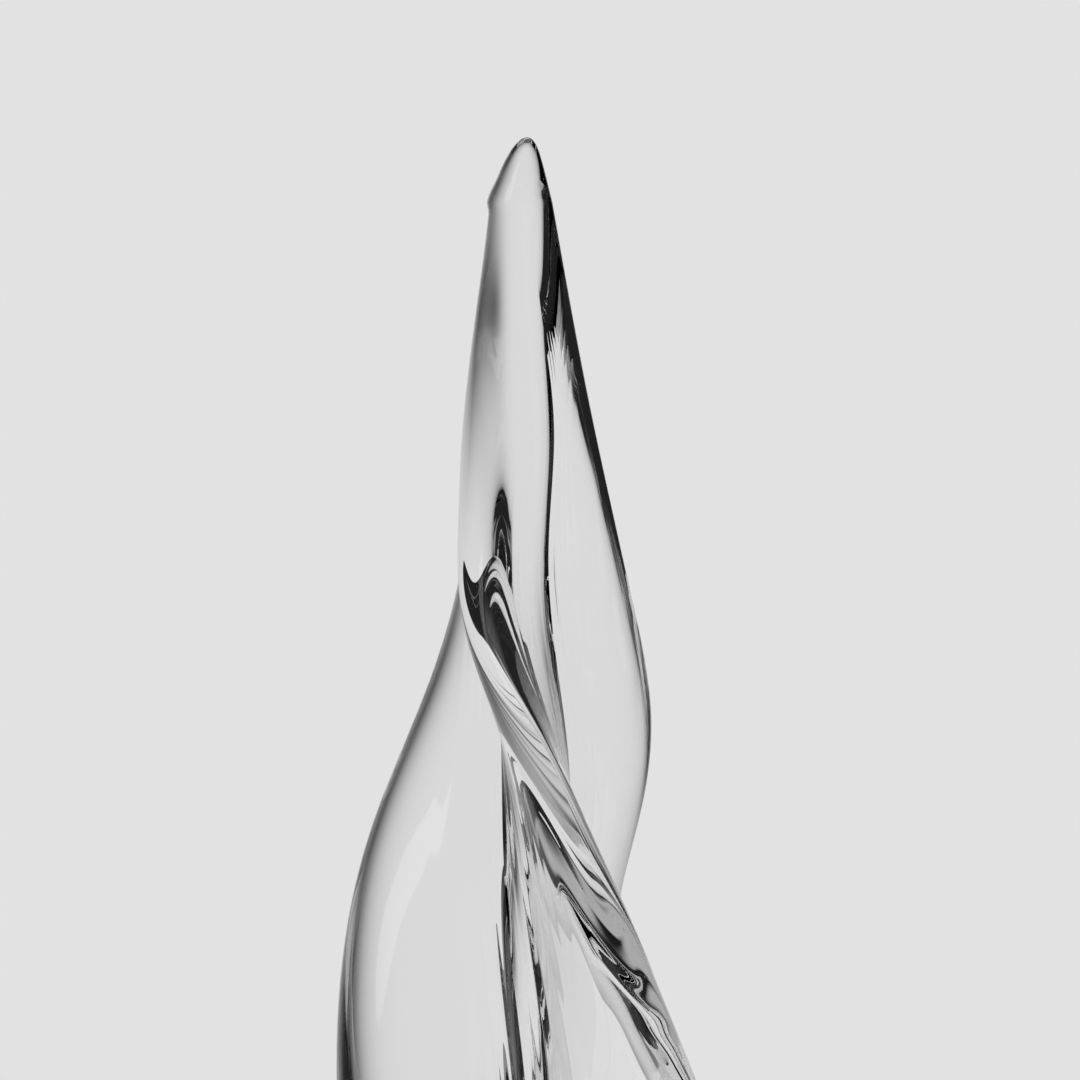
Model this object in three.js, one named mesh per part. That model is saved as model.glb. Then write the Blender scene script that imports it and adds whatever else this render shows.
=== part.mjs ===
// Glass tree: three lobes of clear glass wound round a tapered core, with a drawn tip cap on top.
// Millimetres, +Z up. The origin is the middle of the core's ground foot and the front faces -Y.
import * as THREE from "three";

// Overall sizes
const HEIGHT = 300;
const CAP_HEIGHT = 17.5;
const SEAM_GAP = 0.3;

// Section of the body at chosen levels above the foot.
// reach, front: from the axis to the crest of the right and left lobes, and of the front lobe.
// turn: bearing of the right lobe's crest in degrees; the other two follow a third of a turn apart.
// ahead: how far the front lobe's crest runs ahead of its third of a turn, in degrees.
// lean: sideways place of the axis.
// creases: from the axis to the bottom of the crease after each lobe, in the order of LOBES.
// swing: how far the front crease is turned towards the right lobe, in degrees.
const STATIONS = [
  { level: 0, reach: 52, front: 56.5, turn: 96, ahead: 1, lean: -0.2,
    creases: [16, 6.5, 10], swing: -26 },
  { level: 50, reach: 52.5, front: 57, turn: 80, ahead: 0, lean: -0.2,
    creases: [15, 10, 7.5], swing: -34 },
  { level: 100, reach: 44.5, front: 47, turn: 58, ahead: -1, lean: -2.3,
    creases: [15, 9, 11], swing: -3 },
  { level: 150, reach: 34, front: 38, turn: 22, ahead: 5, lean: 0,
    creases: [15.5, 9, 12.5], swing: -9 },
  { level: 185, reach: 25.5, front: 26.5, turn: 4, ahead: -14, lean: 0,
    creases: [11, 12.5, 7.5], swing: 7 },
  { level: 220, reach: 19.2, front: 20, turn: -12, ahead: -4, lean: -1.2,
    creases: [9.3, 14.5, 10.2], swing: 30 },
  { level: 255, reach: 13, front: 14.5, turn: -16, ahead: -4, lean: -1.8,
    creases: [8.7, 8.8, 10.3], swing: 12 },
  { level: 285, reach: 8.2, front: 8.8, turn: -15, ahead: 3, lean: -2.5,
    creases: [7.2, 8, 8], swing: 5 },
];
const BACK_CREASE_SWING = -1.5;
const LEFT_CREASE_SWING = 4.5;

// Lobes, anticlockwise from above.
// nose: how full the crest is, from 0 for a point to about 0.5 for a round.
const LOBES = [
  { name: "right_lobe", nose: 0.28 },
  { name: "left_lobe", nose: 0.38 },
  { name: "front_lobe", nose: 0.32 },
];
const FLANK_PULL = 0.37;
const FLANK_BULGE = 1.1;
const SHARP_CREASE = 0.3;
const FOOT_BEVEL = 2;

// Presses on the front lobe's flanks, greatest at a middle level and gone a span above and below it.
// thin: how much of the nose is taken off. pinch: how far the flank is pressed in.
const FRONT_LEFT_PINCH = { height: 8.5, middle: 93, span: 80 };
const FRONT_RIGHT_THIN = { height: 0.19, middle: 138, span: 55 };
const FRONT_RIGHT_PINCH = { height: 4, middle: 160, span: 90 };
const FRONT_RIGHT_PULL = 0.62;

// Core
const CORE_FOOT_RADIUS = 6;
const CORE_TOP_RADIUS = 3;

// Tip cap
const NOSE_LEAN = -0.8;
const LIP_OVERHANG = 0.8;
const LIP_HEIGHT = 7;
const LIP_BEARING = 180;

// Fineness of the facets
const LOBE_LEVELS = 48;
const CORE_LEVELS = 12;
const FLANK_STEPS = 7;
const SEAM_STEPS = 2;
const HUB_STEPS = 5;
const ROUND_STEPS = 24;
const CAP_STEPS = 9;

const GLASS_COLOUR = 0xeef1f2;
const GLASS_ROUGHNESS = 0.03;

const capFoot = HEIGHT - CAP_HEIGHT;
const bodyTop = capFoot - SEAM_GAP;
const lobeCount = LOBES.length;
const lobeSpread = (2 * Math.PI) / lobeCount;
const { clamp, degToRad, euclideanModulo, lerp, mapLinear, smoothstep } = THREE.MathUtils;

const stationLevels = STATIONS.map((s) => s.level);
const stationRows = STATIONS.map(({ reach, front, turn, ahead, lean, swing, creases }) => {
  return [reach, front, degToRad(turn), degToRad(ahead), lean, degToRad(swing), ...creases];
});
const alongTree = new THREE.CubicInterpolant(stationLevels, stationRows.flat(), stationRows[0].length);

// The body's section at one level; the crests draw in over the bevel at the foot.
function sectionAt(level) {
  const [side, front, turn, ahead, lean, swing, ...creases] = alongTree.evaluate(level);
  const bevel = Math.max(FOOT_BEVEL - level, 0);
  const reaches = [side - bevel, side - bevel, front - bevel];
  const swings = [degToRad(BACK_CREASE_SWING), degToRad(LEFT_CREASE_SWING), swing];
  return { level, reaches, creases, swings, turn, ahead, lean };
}

// A smooth hump over the levels: its height at the middle, nothing a span above and below.
function rise({ height, middle, span }, level) {
  return height * Math.cos((Math.PI / 2) * clamp((level - middle) / span, -1, 1)) ** 2;
}

function polar(radius, bearing) {
  return new THREE.Vector2(radius * Math.cos(bearing), radius * Math.sin(bearing));
}

// Numbers from start to end in equal steps, both ends included.
function spaced(start, end, steps) {
  return Array.from({ length: steps + 1 }, (_, i) => lerp(start, end, i / steps));
}

function isFront(lobe) {
  return LOBES[lobe].name === "front_lobe";
}

// Place of the crease on the anticlockwise side of a lobe.
function creaseAfter(section, lobe) {
  const bearing = section.turn + (lobe + 0.5) * lobeSpread + section.swings[lobe];
  return { radius: section.creases[lobe], bearing };
}

// Shape of a lobe's flanks, the clockwise one first; those of the front lobe are pressed.
function flanksAt(level, lobe) {
  const plain = { nose: LOBES[lobe].nose, pull: FLANK_PULL, bulge: FLANK_BULGE };
  const left = {
    ...plain,
    bulge: plain.bulge - rise(FRONT_LEFT_PINCH, level),
  };
  const right = {
    nose: plain.nose - rise(FRONT_RIGHT_THIN, level),
    pull: FRONT_RIGHT_PULL,
    bulge: -rise(FRONT_RIGHT_PINCH, level),
  };
  return isFront(lobe) ? [left, right] : [plain, plain];
}

// Half of a lobe's outline from crest to crease, with the crest on the x axis. Where the crease is shallow
// the curve arrives square to the radius, so that the section is round; where it is deep it arrives along
// the flank, which bulges a little.
function halfOutline({ reach, crease, spread, nose, pull, bulge }) {
  const crest = new THREE.Vector2(reach, 0);
  const crestHandle = new THREE.Vector2(reach, (nose * reach * spread) / (lobeSpread / 2));
  const valley = polar(crease, spread);
  const roundHandle = polar((4 / 3) * Math.tan(spread / 4) * crease, spread - Math.PI / 2).add(valley);
  const flank = crestHandle.clone().sub(valley);
  const outwards = new THREE.Vector2(-flank.y, flank.x).normalize();
  const flankHandle = valley.clone().addScaledVector(flank, pull).addScaledVector(outwards, bulge);
  const valleyHandle = roundHandle.lerp(flankHandle, smoothstep(1 - crease / reach, 0, SHARP_CREASE));
  return new THREE.CubicBezierCurve(crest, crestHandle, valleyHandle, valley).getPoints(FLANK_STEPS);
}

// Closed outline of one lobe: over the crest from crease to crease, in along a seam, round the core, out.
function lobeRing(level, lobe) {
  const section = sectionAt(level);
  const before = euclideanModulo(lobe - 1, lobeCount);
  const crest = section.turn + lobe * lobeSpread + (isFront(lobe) ? section.ahead : 0);
  const to = creaseAfter(section, lobe);
  const from = creaseAfter(section, before);
  from.bearing -= before > lobe ? 2 * Math.PI : 0;

  const reach = section.reaches[lobe];
  const [clockwise, anticlockwise] = flanksAt(level, lobe);
  const rising = halfOutline({ reach, crease: from.radius, spread: crest - from.bearing, ...clockwise });
  const falling = halfOutline({ reach, crease: to.radius, spread: to.bearing - crest, ...anticlockwise });
  const mirrored = rising.map((p) => new THREE.Vector2(p.x, -p.y));
  const outside = [...mirrored.reverse().slice(1), ...falling.slice(1, -1)];
  const origin = new THREE.Vector2();
  outside.forEach((p) => p.rotateAround(origin, crest));

  const hub = (coreRadiusAt(level) + SEAM_GAP) / Math.cos((to.bearing - from.bearing) / HUB_STEPS / 2);
  const toInset = polar(SEAM_GAP / 2, to.bearing - Math.PI / 2);
  const fromInset = polar(SEAM_GAP / 2, from.bearing + Math.PI / 2);
  const inwards = spaced(to.radius, hub, SEAM_STEPS).map((r) => polar(r, to.bearing).add(toInset));
  const aroundHub = spaced(to.bearing, from.bearing, HUB_STEPS).slice(1, -1).map((b) => polar(hub, b));
  const outwards = spaced(hub, from.radius, SEAM_STEPS).map((r) => polar(r, from.bearing).add(fromInset));
  return [...outside, ...inwards, ...aroundHub, ...outwards].map((p) => place(p, section));
}

// A point of a section, put at its level and on the leaning axis.
function place(point, { lean, level }) {
  return new THREE.Vector3(point.x + lean, point.y, level);
}

function coreRadiusAt(level) {
  return mapLinear(level, 0, bodyTop, CORE_FOOT_RADIUS, CORE_TOP_RADIUS);
}

function coreRing(level) {
  const radius = coreRadiusAt(level);
  return roundRing(() => radius, sectionAt(level));
}

// A closed ring whose radius may change with the bearing.
function roundRing(radiusAt, station) {
  const bearings = spaced(0, 2 * Math.PI, ROUND_STEPS).slice(0, -1);
  return bearings.map((b) => place(polar(radiusAt(b), b), station));
}

// Rings of the tip cap: it closes in like a paraboloid, with the lip at its foot.
function capRings() {
  const footRadius = sectionAt(capFoot).reaches[0];
  const lip = { height: LIP_OVERHANG, middle: capFoot, span: LIP_HEIGHT };
  return spaced(1, 0, CAP_STEPS).slice(0, -1).map((narrowing) => {
    const level = HEIGHT - CAP_HEIGHT * narrowing ** 2;
    const overhang = (b) => rise(lip, level) * Math.max(Math.cos(b - degToRad(LIP_BEARING)), 0) ** 2;
    return roundRing((b) => footRadius * narrowing + overhang(b), { level, lean: capLeanAt(level) });
  });
}

// The cap's axis leaves the body's lean slowly and bends towards the middle.
function capLeanAt(level) {
  const share = (level - capFoot) / CAP_HEIGHT;
  return lerp(sectionAt(capFoot).lean, NOSE_LEAN, share ** 2);
}

// A closed body through rings of equal length, from the bottom up, ending flat or in an apex.
function loft(rings, apex) {
  const count = rings[0].length;
  const last = (rings.length - 1) * count;
  const points = rings.flat();
  const faces = [];
  for (let ring = 0; ring < last; ring += count) {
    for (let i = 0; i < count; i++) {
      const here = ring + i;
      const next = ring + ((i + 1) % count);
      faces.push(here, next, next + count, here, next + count, here + count);
    }
  }
  for (const [a, b, c] of flatEnd(rings[0])) {
    faces.push(a, c, b);
  }
  if (apex) {
    points.push(apex);
    for (let i = 0; i < count; i++) {
      faces.push(last + i, last + ((i + 1) % count), points.length - 1);
    }
  } else {
    for (const [a, b, c] of flatEnd(rings.at(-1))) {
      faces.push(last + a, last + b, last + c);
    }
  }
  const geometry = new THREE.BufferGeometry().setFromPoints(points);
  geometry.setIndex(faces);
  geometry.computeVertexNormals();
  return geometry;
}

function flatEnd(ring) {
  return THREE.ShapeUtils.triangulateShape(ring.map((p) => new THREE.Vector2(p.x, p.y)), []);
}

function glassMesh(name, geometry) {
  const glass = new THREE.MeshStandardMaterial({
    color: GLASS_COLOUR,
    roughness: GLASS_ROUGHNESS,
    metalness: 0,
  });
  const mesh = new THREE.Mesh(geometry, glass);
  mesh.name = name;
  return mesh;
}

const tree = new THREE.Group();

tree.add(glassMesh("core", loft(spaced(0, bodyTop, CORE_LEVELS).map(coreRing))));

const lobeLevels = [0, ...spaced(FOOT_BEVEL, bodyTop, LOBE_LEVELS)];
LOBES.forEach(({ name }, lobe) => {
  tree.add(glassMesh(name, loft(lobeLevels.map((level) => lobeRing(level, lobe)))));
});

const apex = new THREE.Vector3(capLeanAt(HEIGHT), 0, HEIGHT);
tree.add(glassMesh("tip_cap", loft(capRings(), apex)));

export default tree;
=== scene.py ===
# %% [markdown]
# # A twisted glass tree
# The real ornament is one lump of clear glass. It is gathered hot on an iron, pressed into three lobes,
# twisted while it is pulled, and sheared off at the tip. This lesson builds it in Blender around the packed
# solids: three lobes, the core they are fused to, and the drawn tip. Clear glass shows nothing but bent
# light, so most of the work is in smooth surfaces and in what stands around them.

import math
from collections import namedtuple

import bpy
import numpy as np
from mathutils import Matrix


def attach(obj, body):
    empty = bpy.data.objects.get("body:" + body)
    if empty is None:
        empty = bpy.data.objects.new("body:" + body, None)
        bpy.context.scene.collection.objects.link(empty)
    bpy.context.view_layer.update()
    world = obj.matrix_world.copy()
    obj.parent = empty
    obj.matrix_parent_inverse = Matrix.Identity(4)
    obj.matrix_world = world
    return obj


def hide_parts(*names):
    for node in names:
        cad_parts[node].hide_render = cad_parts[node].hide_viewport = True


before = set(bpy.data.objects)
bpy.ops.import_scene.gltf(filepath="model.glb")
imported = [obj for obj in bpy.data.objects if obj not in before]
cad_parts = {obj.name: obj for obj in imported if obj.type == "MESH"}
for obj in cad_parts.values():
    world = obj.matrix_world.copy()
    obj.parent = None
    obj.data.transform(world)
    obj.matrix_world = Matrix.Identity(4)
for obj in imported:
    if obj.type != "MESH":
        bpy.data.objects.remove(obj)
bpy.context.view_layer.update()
scene = bpy.context.scene
print("solids in the frame:", sorted(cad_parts))

# %% [markdown]
# ## Stations
# A glassworker would judge the body by its section: how far the lobes reach, where their crests point, and
# how deep the creases lie. The same eight levels as in the solids are written here in millimetres and
# degrees. The front lobe does not keep to its third of a turn, so it has an angle of its own by which its
# crest runs ahead. Bent light shows the smallest kink, so the values between the levels come from a natural
# cubic spline, whose curvature runs on without a jump.

# %% Stations of the body
HEIGHT = 300.0
CAP_FOOT = 282.5
LEVELS = np.array([0, 50, 100, 150, 185, 220, 255, 285.0])
SIDE_REACH = np.array([52, 52.5, 44.5, 34, 25.5, 19.2, 13, 8.2])
FRONT_REACH = np.array([56.5, 57, 47, 38, 26.5, 20, 14.5, 8.8])
TURN = np.radians([96, 80, 58, 22, 4, -12, -16, -15])
FRONT_AHEAD = np.radians([1, 0, -1, 5, -14, -4, -4, 3])
LEAN = np.array([-0.2, -0.2, -2.3, 0, 0, -1.2, -1.8, -2.5])
BACK_CREASE = np.array([16, 15, 15, 15.5, 11, 9.3, 8.7, 7.2])
LEFT_CREASE = np.array([6.5, 10, 9, 9, 12.5, 14.5, 8.8, 8])
FRONT_CREASE = np.array([10, 7.5, 11, 12.5, 7.5, 10.2, 10.3, 8])
FRONT_SWING = np.radians([-26, -34, -3, -9, 7, 30, 12, 5])
BACK_SWING = np.radians(-1.5)
LEFT_SWING = np.radians(4.5)


def along(values, level):
    """Natural cubic spline: between two stations the second slope changes evenly, and is zero at the ends.

    The second slopes m solve h[k-1] m[k-1] + 2 (h[k-1] + h[k]) m[k] + h[k] m[k+1] = 6 times the change of
    slope, with h the gaps between the levels.
    """
    gap = np.diff(LEVELS)
    count = len(LEVELS)
    inner = np.arange(1, count - 1)
    system = np.eye(count)
    system[inner, inner - 1] = gap[:-1]
    system[inner, inner] = 2 * (gap[:-1] + gap[1:])
    system[inner, inner + 1] = gap[1:]
    bend = np.zeros(count)
    bend[1:-1] = 6 * np.diff(np.diff(values) / gap)
    m = np.linalg.solve(system, bend)
    k = np.clip(np.searchsorted(LEVELS, level) - 1, 0, count - 2)
    up, down, h = level - LEVELS[k], LEVELS[k + 1] - level, gap[k]
    cubic = (m[k] * down**3 + m[k + 1] * up**3) / (6 * h)
    straight = (values[k] / h - m[k] * h / 6) * down + (values[k + 1] / h - m[k + 1] * h / 6) * up
    return cubic + straight


print("reach half way up: %.1f mm" % along(SIDE_REACH, np.array(HEIGHT / 2)))

# %% [markdown]
# ## Flanks and presses
# Seen in section, a lobe is a full nose with two flanks that run into the creases. The nose says how full
# the crest is, and the pull and the bulge shape the flank above the crease. The front lobe's flanks are
# pressed in, and the right one is thinned to a ridge half way up. A press has no hard edge, so it is a
# smooth hump over the levels.

# %% Flanks and presses
Flank = namedtuple("Flank", "nose pull bulge")
Hump = namedtuple("Hump", "height middle span")

LOBES = ("right_lobe", "left_lobe", "front_lobe")
FRONT = LOBES.index("front_lobe")
THIRD = 2 * math.pi / len(LOBES)
CREASES = (BACK_CREASE, LEFT_CREASE, FRONT_CREASE)
FLANK_PULL = 0.37
FLANK_BULGE = 1.1
FRONT_RIGHT_PULL = 0.62
RIGHT_NOSE = 0.28
LEFT_NOSE = 0.38
FRONT_NOSE = 0.32
FLANKS = (
    (Flank(RIGHT_NOSE, FLANK_PULL, FLANK_BULGE), Flank(RIGHT_NOSE, FLANK_PULL, FLANK_BULGE)),
    (Flank(LEFT_NOSE, FLANK_PULL, FLANK_BULGE), Flank(LEFT_NOSE, FLANK_PULL, FLANK_BULGE)),
    (Flank(FRONT_NOSE, FLANK_PULL, FLANK_BULGE), Flank(FRONT_NOSE, FRONT_RIGHT_PULL, 0)),
)
FRONT_LEFT_PINCH = Hump(8.5, 93, 80)
FRONT_RIGHT_THIN = Hump(0.19, 138, 55)
FRONT_RIGHT_PINCH = Hump(4, 160, 90)


def smooth(x):
    """The S-shaped step 3x^2 - 2x^3, level at 0 and at 1."""
    x = np.clip(x, 0, 1)
    return x * x * (3 - 2 * x)


def rise(hump, level):
    """A cos^2 hump of the given height at its middle level, and 0 a span above and below it."""
    return hump.height * np.cos(math.pi / 2 * np.clip((level - hump.middle) / hump.span, -1, 1)) ** 2


for side, pinch in (("left", FRONT_LEFT_PINCH), ("right", FRONT_RIGHT_PINCH)):
    print("front lobe, %s flank: pinched by %.1f mm at %.0f mm up" % (side, pinch.height, pinch.middle))

# %% [markdown]
# ## Cords and folds
# The pull leaves fine cords in the glass along the creases, a small ripple of the skin. Closer to the crease
# run a few folds, narrow grooves where the skin was laid together. Both are no deeper than thin card, yet
# they break the broad dark bands into lines. They fade out towards the tip, where the glass was pulled
# smooth. A bump texture could fake them, but real grooves bend the light from every side.

# %% Cords and folds
CORD_HEIGHT = 0.06
CORD_WAVES = np.array([8.5, 12.5])
CORD_SHARES = np.array([0.6, 0.4])
CORD_PHASES = np.array([1.3, 3.4])
CORD_START = 0.4
CORD_MOST = 1.4
RELIEF_START = 12.0
RELIEF_FULL = 30.0
FOLD_PLACES = np.array([0.72, 0.8, 0.86, 0.93])
FOLD_DEPTHS = np.array([0.1, 0.15, 0.2, 0.2])
FOLD_WIDTHS = np.array([0.015, 0.012, 0.01, 0.01])
FOLDED = ((1, 0.3), (0.3, 1), (0.3, 0.2))


def relief(u, reach, sharp, lobe, after):
    """Cords less folds, from crest (u = 0) to crease (u = 1), fading out where the lobe is short or blunt.

    The cords are a sum of cosines of u that grows towards the crease. Each fold is a bell curve, its depth
    times exp(-((u - place) / width)^2).
    """
    waves = np.cos(2 * math.pi * CORD_WAVES * u[..., None] + CORD_PHASES) @ CORD_SHARES
    grown = np.clip(reach / RELIEF_FULL, 0, CORD_MOST) * smooth((u - CORD_START) / (1 - CORD_START))
    folds = np.exp(-(((u[..., None] - FOLD_PLACES) / FOLD_WIDTHS) ** 2)) @ FOLD_DEPTHS
    fade = np.clip((reach - RELIEF_START) / (RELIEF_FULL - RELIEF_START), 0, 1)
    return sharp * fade * (CORD_HEIGHT * grown * waves - FOLDED[lobe][after] * folds)


print("deepest fold %.2f mm, highest cord %.2f mm" % (FOLD_DEPTHS.max(), CORD_HEIGHT * CORD_MOST))

# %% [markdown]
# ## Half a lobe
# One cubic Bezier curve draws each half of a lobe, from crest to crease. High up, where the creases are
# shallow, its last handle turns square to the radius and the section becomes round. Several curves could
# follow a hand-made section more closely, but one curve has no joint that the light would show.

# %% Half a lobe
SHARP_CREASE = 0.3
FOOT_BEVEL = 2.0


def foot_bevel(level):
    """How far a quarter round of radius r draws the edge in: r - sqrt(r^2 - (r - level)^2)."""
    rest = np.clip(FOOT_BEVEL - level, 0, FOOT_BEVEL)
    return FOOT_BEVEL - np.sqrt(FOOT_BEVEL**2 - rest**2)


def crease_bearing(level, crease_no):
    """Bearing of the crease after a lobe: half way to the next lobe, and swung aside."""
    swing = (BACK_SWING, LEFT_SWING, along(FRONT_SWING, level))[crease_no % len(LOBES)]
    return along(TURN, level) + (crease_no + 0.5) * THIRD + swing


def half_outline(level, u, lobe, after):
    """Half of a lobe at the given levels, from its crest (u = 0) to its crease (u = 1).

    In the lobe's own axes the curve is the Bezier P0 (1-u)^3 + 3 P1 u (1-u)^2 + 3 P2 u^2 (1-u) + P3 u^3,
    with P0 the crest, P1 beside it, P3 the crease and P2 a handle up the flank. The relief is added along
    the normal, and the result is turned to the crest's bearing.
    """
    crease_no = lobe if after else lobe - 1
    flank = FLANKS[lobe][after]
    crest = along(TURN, level) + lobe * THIRD + (along(FRONT_AHEAD, level) if lobe == FRONT else 0)
    spread = np.abs(crease_bearing(level, crease_no) - crest)
    reach = along(FRONT_REACH if lobe == FRONT else SIDE_REACH, level) - foot_bevel(level)
    depth = along(CREASES[crease_no], level)
    nose, bulge = flank.nose, flank.bulge
    if lobe == FRONT and after:
        nose, bulge = nose - rise(FRONT_RIGHT_THIN, level), bulge - rise(FRONT_RIGHT_PINCH, level)
    elif lobe == FRONT:
        bulge = bulge - rise(FRONT_LEFT_PINCH, level)

    x0, y0 = reach, 0 * reach
    x1, y1 = reach, nose * reach * spread / (THIRD / 2)
    x3, y3 = depth * np.cos(spread), depth * np.sin(spread)
    flank_x, flank_y = x1 - x3, y1 - y3
    length = np.hypot(flank_x, flank_y)
    sharp = smooth((1 - depth / reach) / SHARP_CREASE)
    handle = 4 / 3 * np.tan(spread / 4) * depth
    pull_x, pull_y = flank.pull * flank_x, flank.pull * flank_y
    out_x, out_y = -bulge * flank_y / length, bulge * flank_x / length
    x2 = x3 + (1 - sharp) * handle * np.sin(spread) + sharp * (pull_x + out_x)
    y2 = y3 - (1 - sharp) * handle * np.cos(spread) + sharp * (pull_y + out_y)

    b0, b1, b2, b3 = (1 - u) ** 3, 3 * u * (1 - u) ** 2, 3 * u * u * (1 - u), u**3
    x, y = b0 * x0 + b1 * x1 + b2 * x2 + b3 * x3, b0 * y0 + b1 * y1 + b2 * y2 + b3 * y3
    d0, d1, d2 = 3 * (1 - u) ** 2, 6 * u * (1 - u), 3 * u * u
    dx = d0 * (x1 - x0) + d1 * (x2 - x1) + d2 * (x3 - x2)
    dy = d0 * (y1 - y0) + d1 * (y2 - y1) + d2 * (y3 - y2)
    speed = np.hypot(dx, dy)
    lift = relief(u, reach, sharp, lobe, after)
    x, y = x + lift * dy / speed, y - lift * dx / speed

    side = 1 if after else -1
    cos, sin = np.cos(crest), np.sin(crest)
    return x * cos - side * y * sin + along(LEAN, level), x * sin + side * y * cos


front_x, front_y = half_outline(np.array([[HEIGHT / 2]]), np.array([[0.0]]), FRONT, after=True)
print("front crest at half height: x %.1f mm, y %.1f mm" % (front_x.item(), front_y.item()))

# %% [markdown]
# ## The lip
# Where the tip was sheared off, the hot glass sagged a little on the left. The lip is a soft shoulder that
# runs over the seam between the lobes and the tip, so it is worked out here once for both.

# %% The lip
LIP_LEVEL = 283.0
LIP_BELOW = 3.5
LIP_ABOVE = 7.0
LIP_OVERHANG = 0.8


def with_lip(x, y, level):
    """Moves points outwards by a hump over the level, times the squared cosine of the turn from the left."""
    middle = along(LEAN, np.array(LIP_LEVEL))
    radius = np.hypot(x - middle, y)
    left = np.clip((middle - x) / radius, 0, 1)
    below, above = Hump(LIP_OVERHANG, LIP_LEVEL, LIP_BELOW), Hump(LIP_OVERHANG, LIP_LEVEL, LIP_ABOVE)
    overhang = np.where(level < LIP_LEVEL, rise(below, level), rise(above, level))
    grown = 1 + overhang * left**2 / radius
    return middle + (x - middle) * grown, y * grown


print("the lip stands out %.1f mm" % LIP_OVERHANG)

# %% [markdown]
# ## Whole outline
# The outline of a lobe runs from the crease before it, over the crest, to the crease after it. The points
# crowd together towards the creases, where the folds are narrow.

# %% Whole outline
HALF_STEPS = 140
CREASE_CROWDING = 1.6
CREST_TO_CREASE = 1 - (1 - np.linspace(0, 1, HALF_STEPS + 1)) ** CREASE_CROWDING


def bare_outline(level, lobe):
    """Outline of a lobe without the lip, crease to crease, as grids of x and y with a row for each level."""
    level = np.asarray(level, float)[:, None]
    x_in, y_in = half_outline(level, CREST_TO_CREASE[None, :0:-1], lobe, after=False)
    x_out, y_out = half_outline(level, CREST_TO_CREASE[None, :], lobe, after=True)
    return np.concatenate([x_in, x_out], 1), np.concatenate([y_in, y_out], 1)


def lobe_outline(level, lobe):
    """Outline of a lobe with its share of the lip."""
    return with_lip(*bare_outline(level, lobe), np.asarray(level, float)[:, None])


for lobe, name in enumerate(LOBES):
    x, y = lobe_outline([HEIGHT / 2], lobe)
    print("%s, section at half height: x %.1f to %.1f mm" % (name, x.min(), x.max()))

# %% [markdown]
# ## Putting a grid into a mesh
# Every piece here is a stack of rings. A mesh wants points and faces: the faces of a ring stack follow from
# the row and column numbers alone, so they are worked out as whole arrays. Each column can have a finish of
# its own, because a lobe is polished outside and fused to its neighbours inside. Edges sharper than a set
# angle stay crisp and everything else is shaded smooth.

# %% Ring stack to mesh
MM = 0.001
CRISP = math.radians(40)


def ring_stack(name, x, y, z, finishes, column_finish, foot_finish, top_finish=None, apex=None):
    """A closed body through rings, given as grids with a row for each ring and a column round it.

    Row i and column j make the face (i, j), (i, j+1), (i+1, j+1), (i+1, j). The foot is one flat face, and
    the top is one flat face or a fan to an apex.
    """
    rows, columns = x.shape
    points = np.stack([x, y, np.broadcast_to(z, x.shape)], -1).reshape(-1, 3)
    i, j = np.meshgrid(np.arange(rows - 1), np.arange(columns), indexing="ij")
    here, beside = i * columns + j, i * columns + (j + 1) % columns
    faces = np.stack([here, beside, beside + columns, here + columns], -1).reshape(-1, 4).tolist()
    finish = np.broadcast_to(column_finish, (rows - 1, columns)).reshape(-1).tolist()
    faces.append(list(range(columns))[::-1])
    finish.append(foot_finish)
    last = np.arange(columns) + (rows - 1) * columns
    if apex is None:
        faces.append(last.tolist())
        finish.append(top_finish)
    else:
        points = np.concatenate([points, [apex]])
        faces += np.stack([last, np.roll(last, -1), np.full(columns, rows * columns)], -1).tolist()
        finish += [top_finish] * columns
    mesh = bpy.data.meshes.new(name)
    mesh.from_pydata((points * MM).tolist(), [], faces)
    for material in finishes:
        mesh.materials.append(material)
    mesh.polygons.foreach_set("material_index", finish)
    mesh.polygons.foreach_set("use_smooth", [True] * len(faces))
    mesh.set_sharp_from_angle(angle=CRISP)
    piece = bpy.data.objects.new(name, mesh)
    scene.collection.objects.link(piece)
    print("%s: %d points, %d faces" % (name, len(points), len(faces)))
    return piece


# %% [markdown]
# ## Clear glass
# Clear glass has no colour to paint. Its finish is all in the refraction, set on the shader itself, and in
# the faint unevenness of its surface. A painted picture could carry the unevenness, but noise on the
# object's own coordinates needs no unwrapping and has no seam.

# %% Clear glass
GLASS_CLEAR = (0.99, 0.99, 0.99, 1)
GLASS_IOR = 1.5
NOISE_DETAIL = 2.0


def glass_nodes(name):
    """A clear glass material with its node tree, its shader and the object's coordinates."""
    material = bpy.data.materials.new(name)
    material.use_nodes = True
    tree = material.node_tree
    shader = tree.nodes["Principled BSDF"]
    shader.inputs["Base Color"].default_value = GLASS_CLEAR
    shader.inputs["Roughness"].default_value = 0.0
    shader.inputs["Transmission Weight"].default_value = 1.0
    shader.inputs["IOR"].default_value = GLASS_IOR
    place = tree.nodes.new("ShaderNodeTexCoord").outputs["Object"]
    return material, tree, shader, place


def noise(tree, place, scale, z_scale):
    """Noise on the object's coordinates, drawn out upwards where the z scale is below 1."""
    mapping = tree.nodes.new("ShaderNodeMapping")
    mapping.inputs["Scale"].default_value = (1, 1, z_scale)
    tree.links.new(place, mapping.inputs["Vector"])
    texture = tree.nodes.new("ShaderNodeTexNoise")
    texture.inputs["Scale"].default_value = scale
    texture.inputs["Detail"].default_value = NOISE_DETAIL
    tree.links.new(mapping.outputs["Vector"], texture.inputs["Vector"])
    return texture.outputs["Fac"]


def bump(tree, height, distance, shader):
    """Tilts the shader's normal by a height of the given size in metres."""
    node = tree.nodes.new("ShaderNodeBump")
    node.inputs["Distance"].default_value = distance
    tree.links.new(height, node.inputs["Height"])
    tree.links.new(node.outputs["Normal"], shader.inputs["Normal"])


print("glass bends light by an index of", GLASS_IOR)

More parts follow.
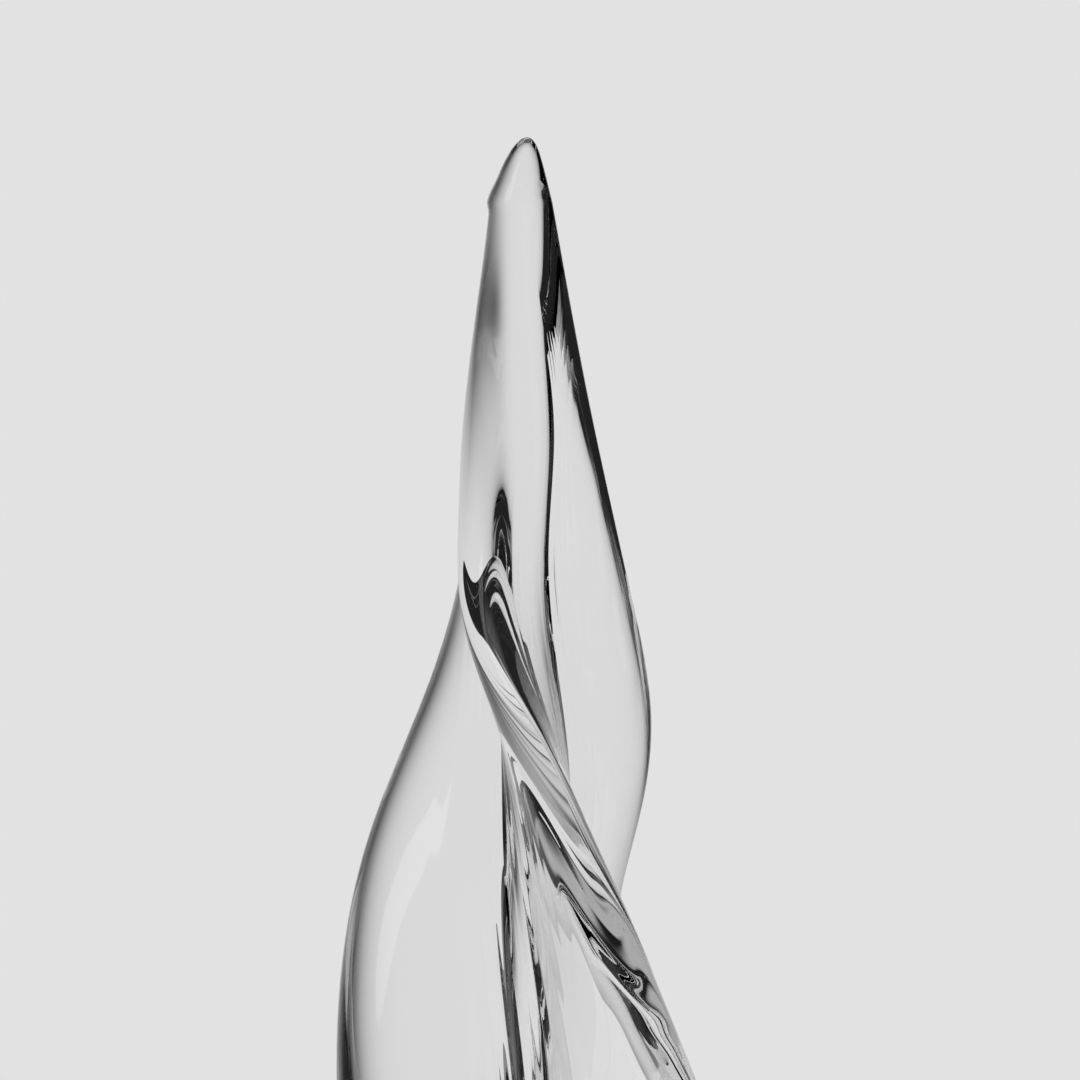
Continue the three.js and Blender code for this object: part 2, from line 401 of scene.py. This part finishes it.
# %% [markdown]
# ## Fire-polished skin
# The skin was shaped by heat and never touched a mould. It keeps a slow waviness, drawn out upwards by the
# pull, and faint smears where it was handled. The waviness tilts the normal, and the smears roughen the skin
# a little.

# %% Fire-polished skin
WAVE_SCALE = 60.0
WAVE_PULL = 0.2
WAVE_HEIGHT = 0.00002
SMEAR_SCALE = 25.0
SMEAR_FROM = 0.5
SMEAR_TO = 0.8
SMEAR_ROUGHNESS = 0.012


def fire_polished_glass():
    """Clear glass with a slow waviness and faint smears."""
    material, tree, shader, place = glass_nodes("fire_polished_glass")
    bump(tree, noise(tree, place, WAVE_SCALE, WAVE_PULL), WAVE_HEIGHT, shader)
    smear = tree.nodes.new("ShaderNodeMapRange")
    smear.inputs["From Min"].default_value = SMEAR_FROM
    smear.inputs["From Max"].default_value = SMEAR_TO
    smear.inputs["To Max"].default_value = SMEAR_ROUGHNESS
    tree.links.new(noise(tree, place, SMEAR_SCALE, 1.0), smear.inputs["Value"])
    tree.links.new(smear.outputs["Result"], shader.inputs["Roughness"])
    return material


polished = fire_polished_glass()
print("skin:", polished.name)

# %% [markdown]
# ## Ground foot
# The foot was ground flat so that the tree stands firm, and was left unpolished. It is the same glass with a
# rougher surface and fine scratches.

# %% Ground foot
GROUND_ROUGHNESS = 0.15
SCRATCH_SCALE = 900.0
SCRATCH_HEIGHT = 0.00002


def ground_foot_glass():
    """The same glass, ground flat: a fine scratched satin."""
    material, tree, shader, place = glass_nodes("ground_foot_glass")
    shader.inputs["Roughness"].default_value = GROUND_ROUGHNESS
    bump(tree, noise(tree, place, SCRATCH_SCALE, 1.0), SCRATCH_HEIGHT, shader)
    return material


ground = ground_foot_glass()
print("foot:", ground.name)

# %% [markdown]
# ## Fused seams
# Inside, where two pieces are fused, the real glass has no surface at all. One joined mesh would have none
# either, but then the pieces could not be told apart, so the faces at the seams let light straight through.

# %% Fused seams
def fused_seam():
    """No surface: light goes straight on from one piece into the next."""
    material = bpy.data.materials.new("fused_seam")
    material.use_nodes = True
    tree = material.node_tree
    tree.nodes.remove(tree.nodes["Principled BSDF"])
    clear = tree.nodes.new("ShaderNodeBsdfTransparent")
    tree.links.new(clear.outputs["BSDF"], tree.nodes["Material Output"].inputs["Surface"])
    return material


fused = fused_seam()
GLASS_FINISHES = (polished, fused, ground)
POLISHED, FUSED, GROUND = range(len(GLASS_FINISHES))
print("glass finishes:", [m.name for m in GLASS_FINISHES])

# %% [markdown]
# ## Lobes
# Each lobe is a closed body: its polished outside from crease to crease, then in along one seam, round the
# core and out along the other seam. The seams of two neighbours lie in the same place, as fused glass does.
# The rows crowd together at the foot, where the edge is rounded.

# %% Lobes
CORE_FOOT_RADIUS = 6.0
CORE_TOP_RADIUS = 3.0
SEAM_STEPS = 4
HUB_STEPS = 10
LOBE_ROWS = 260
BEVEL_ROWS = 7


def core_radius(level):
    """A straight taper from the foot to the cap."""
    return CORE_FOOT_RADIUS + (CORE_TOP_RADIUS - CORE_FOOT_RADIUS) * level / CAP_FOOT


def inner_outline(level, lobe):
    """Inside of a lobe, from the crease after it to the one before it: straight in, an arc, straight out."""
    level = np.asarray(level, float)[:, None]
    start, end = crease_bearing(level, lobe), crease_bearing(level, lobe - 1)
    hub = core_radius(level)
    inwards = np.linspace(0, 1, SEAM_STEPS + 1)[None, 1:]
    first, last = along(CREASES[lobe], level), along(CREASES[lobe - 1], level)
    radius = np.concatenate([
        first + (hub - first) * inwards,
        np.repeat(hub, HUB_STEPS - 1, 1),
        hub + (last - hub) * (inwards - inwards[0, 0]),
    ], 1)
    arc = np.linspace(0, 1, HUB_STEPS + 1)[None, 1:]
    bearing = np.concatenate([
        np.repeat(start, SEAM_STEPS, 1),
        start + (end - start) * arc[:, :-1],
        np.repeat(end, SEAM_STEPS, 1),
    ], 1)
    return radius * np.cos(bearing) + along(LEAN, level), radius * np.sin(bearing)


bevel_rows = FOOT_BEVEL * (1 - np.cos(np.linspace(0, math.pi / 2, BEVEL_ROWS)))
lobe_levels = np.concatenate([bevel_rows[:-1], np.linspace(FOOT_BEVEL, CAP_FOOT, LOBE_ROWS)])

for lobe, name in enumerate(LOBES):
    x_skin, y_skin = lobe_outline(lobe_levels, lobe)
    x_seam, y_seam = inner_outline(lobe_levels, lobe)
    columns = np.full(x_skin.shape[1] + x_seam.shape[1], FUSED)
    columns[: x_skin.shape[1] - 1] = POLISHED
    piece = ring_stack(
        name + "_glass",
        np.concatenate([x_skin, x_seam], 1),
        np.concatenate([y_skin, y_seam], 1),
        lobe_levels[:, None],
        GLASS_FINISHES, columns, GROUND, FUSED,
    )
    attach(piece, "root")
    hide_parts(name)

# %% [markdown]
# ## Core
# The core is the middle of the gather that the lobes were pressed out of. It is fused all round, so only its
# ground foot shows.

# %% Core
CORE_ROWS = 60
CORE_STEPS = 48

core_levels = np.linspace(0, CAP_FOOT, CORE_ROWS)[:, None]
round_bearing = np.linspace(0, 2 * math.pi, CORE_STEPS, endpoint=False)[None, :]
core = ring_stack(
    "core_glass",
    core_radius(core_levels) * np.cos(round_bearing) + along(LEAN, core_levels),
    core_radius(core_levels) * np.sin(round_bearing),
    core_levels,
    GLASS_FINISHES, np.full(CORE_STEPS, FUSED), GROUND, FUSED,
)
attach(core, "root")
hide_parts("core")

# %% [markdown]
# ## Tip cap
# The tip was pulled thin and sheared off. It closes in like the end of an egg, a paraboloid that leans back
# towards the middle. Its foot takes the outline of the three lobes, so that the skin runs on without a step,
# and rounds off on the way up.

# %% Tip cap
CAP_ROWS = 48
CAP_LAST_RING = 0.08
NOSE_LEAN = -0.8

foot_outline = [bare_outline([CAP_FOOT], lobe) for lobe in range(len(LOBES))]
foot_x = np.concatenate([x[:, :-1] for x, y in foot_outline], 1)
foot_y = np.concatenate([y[:, :-1] for x, y in foot_outline], 1)
foot_lean = float(along(LEAN, np.array(CAP_FOOT)))
cap_bearing = np.arctan2(foot_y, foot_x - foot_lean)
foot_radius = np.hypot(foot_x - foot_lean, foot_y)
narrowing = np.linspace(1, CAP_LAST_RING, CAP_ROWS)[:, None]
share = 1 - narrowing**2
cap_level = CAP_FOOT + (HEIGHT - CAP_FOOT) * share
round_radius = foot_radius + (foot_radius.mean() - foot_radius) * smooth(share)
cap_lean = foot_lean + (NOSE_LEAN - foot_lean) * share**2
cap_x = cap_lean + round_radius * narrowing * np.cos(cap_bearing)
cap_y = round_radius * narrowing * np.sin(cap_bearing)
cap_x, cap_y = with_lip(cap_x, cap_y, cap_level)
cap = ring_stack(
    "tip_cap_glass",
    cap_x, cap_y,
    cap_level,
    GLASS_FINISHES, np.full(foot_x.shape[1], POLISHED), FUSED, POLISHED, (NOSE_LEAN, 0, HEIGHT),
)
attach(cap, "root")
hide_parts("tip_cap")

# %% [markdown]
# ## Camera
# The photograph was taken level, from the front and from far off, with the foot below its lower edge. The
# picture is about 286 mm wide at the glass. A long lens keeps the sides of the tree from leaning.

# %% Camera
PICTURE_WIDTH = 0.2863
CAMERA_X = 0.00265
CAMERA_Z = 0.1932
LENS = 135.0
SENSOR_WIDTH = 36.0
NEAREST = 0.01

lens = bpy.data.cameras.new("camera")
lens.sensor_width = SENSOR_WIDTH
lens.lens = LENS
lens.clip_start = NEAREST
camera = bpy.data.objects.new("camera", lens)
camera.location = (CAMERA_X, -PICTURE_WIDTH * LENS / SENSOR_WIDTH, CAMERA_Z)
camera.rotation_euler = (math.pi / 2, 0, 0)
scene.collection.objects.link(camera)
scene.camera = camera
print("camera stands %.2f m in front" % -camera.location.y)

# %% [markdown]
# ## Light
# Glass is photographed against a bright backdrop with dark surroundings: light that comes straight through
# stays bright, and light that was bent far to the side arrives from the dark and draws the edges. Each
# light here is a round patch of the surroundings: an axis that points at it, the angles where it starts to
# fade and where it ends, and a strength. A lamp on the left leaves a soft patch on the wide lobe, and a
# light above falls on the table.

# %% Lights of the studio
Light = namedtuple("Light", "axis bright dark strength")

DARK = 0.015
BACKDROP = Light((-0.14, 0.99, 0), 4, 58, 0.76)
TOP = Light((0, 0, 1), 25, 50, 1.8)
LAMP = Light((-0.28, -0.74, 0.61), 10, 13, 1.5)
LOW_CORNER = Light((-0.45, -0.85, -0.28), 5, 32, 0.42)
FRONT_WALL = Light((0, -1, 0), 30, 85, 0.62)
RIGHT_WALL = Light((0.95, 0.15, -0.27), 10, 50, 0.14)
LEFT_WALL = Light((-0.95, 0.15, -0.27), 10, 50, 0.14)

print("the backdrop fades out %d degrees from its middle" % BACKDROP.dark)

# %% [markdown]
# ## Lights as nodes
# Area lamps could stand round the glass, but their hard edges would show in it. The world has no edges, so
# the lights are worked out there from the direction in which a ray leaves.

# %% Light nodes
world = bpy.data.worlds.new("studio")
world.use_nodes = True
scene.world = world
tree = world.node_tree
background = tree.nodes["Background"]
background.inputs["Color"].default_value = (1, 1, 1, 1)
direction = tree.nodes.new("ShaderNodeTexCoord").outputs["Generated"]
light_path = tree.nodes.new("ShaderNodeLightPath").outputs


def glow(light, darkest=0.0):
    """Full strength up to the bright angle from the axis, darkest past the dark angle, an S-step between."""
    dot = tree.nodes.new("ShaderNodeVectorMath")
    dot.operation = "DOT_PRODUCT"
    dot.inputs[1].default_value = light.axis
    tree.links.new(direction, dot.inputs[0])
    fall = tree.nodes.new("ShaderNodeMapRange")
    fall.interpolation_type = "SMOOTHSTEP"
    fall.inputs["From Min"].default_value = math.cos(math.radians(light.dark))
    fall.inputs["From Max"].default_value = math.cos(math.radians(light.bright))
    fall.inputs["To Min"].default_value = darkest
    fall.inputs["To Max"].default_value = light.strength
    tree.links.new(dot.outputs["Value"], fall.inputs["Value"])
    return fall.outputs["Result"]


def total(a, b):
    """Sum of two values."""
    node = tree.nodes.new("ShaderNodeMath")
    tree.links.new(a, node.inputs[0])
    tree.links.new(b, node.inputs[1])
    return node.outputs["Value"]


def choice(factor, a, b):
    """The first value where the factor is 0, and the second where it is 1 or more."""
    node = tree.nodes.new("ShaderNodeMix")
    tree.links.new(factor, node.inputs["Factor"])
    tree.links.new(a, node.inputs["A"])
    tree.links.new(b, node.inputs["B"])
    return node.outputs["Result"]


print("world:", world.name)

# %% [markdown]
# ## What the glass sees
# What the camera sees past the glass is one even pale grey. What the glass sees is bright behind and falls
# off to the sides. The front of the room has two sides to it. Light that was mirrored inside the glass finds
# it dark, but for a weak glow in the low left corner, which greys the lower right edge. Light that only went
# through finds a pale wall in front and dim walls beside, so that the tree stays clear for anyone who walks
# round it. One real room could not do both.

# %% What the glass sees
MOST_BOUNCES = 32
MOST_SEAMS = 64

walls = total(glow(FRONT_WALL), total(glow(RIGHT_WALL), glow(LEFT_WALL)))
front = choice(light_path["Glossy Depth"], walls, glow(LOW_CORNER))
surroundings = total(total(glow(BACKDROP, DARK), glow(TOP)), total(front, glow(LAMP)))
seen = tree.nodes.new("ShaderNodeMix")
seen.inputs["B"].default_value = BACKDROP.strength
tree.links.new(light_path["Is Camera Ray"], seen.inputs["Factor"])
tree.links.new(surroundings, seen.inputs["A"])
tree.links.new(seen.outputs["Result"], background.inputs["Strength"])

scene.view_settings.view_transform = "Standard"
scene.cycles.max_bounces = MOST_BOUNCES
scene.cycles.transmission_bounces = MOST_BOUNCES
scene.cycles.transparent_max_bounces = MOST_SEAMS
print("light nodes in the world:", len(tree.nodes))

# %% [markdown]
# ## Table
# The tree stands on a plain pale round table. It is kept small: a wide table would shine up into the glass
# and grey the dark bands.

# %% Table
TABLE_RADIUS = 0.12
TABLE_STEPS = 96
TABLE_DROP = 0.0002
TABLE_PAINT = (0.8, 0.8, 0.8, 1)
TABLE_ROUGHNESS = 0.6

round_table = np.linspace(0, 2 * math.pi, TABLE_STEPS, endpoint=False)
table_points = TABLE_RADIUS * np.stack([np.cos(round_table), np.sin(round_table), 0 * round_table], -1)
table_mesh = bpy.data.meshes.new("table")
table_mesh.from_pydata((table_points - [0, 0, TABLE_DROP]).tolist(), [], [list(range(TABLE_STEPS))])
table = bpy.data.objects.new("table", table_mesh)
scene.collection.objects.link(table)
paint = bpy.data.materials.new("pale_table")
paint.use_nodes = True
paint_shader = paint.node_tree.nodes["Principled BSDF"]
paint_shader.inputs["Base Color"].default_value = TABLE_PAINT
paint_shader.inputs["Roughness"].default_value = TABLE_ROUGHNESS
table_mesh.materials.append(paint)
print("table: %.0f mm across" % (2 * TABLE_RADIUS / MM))
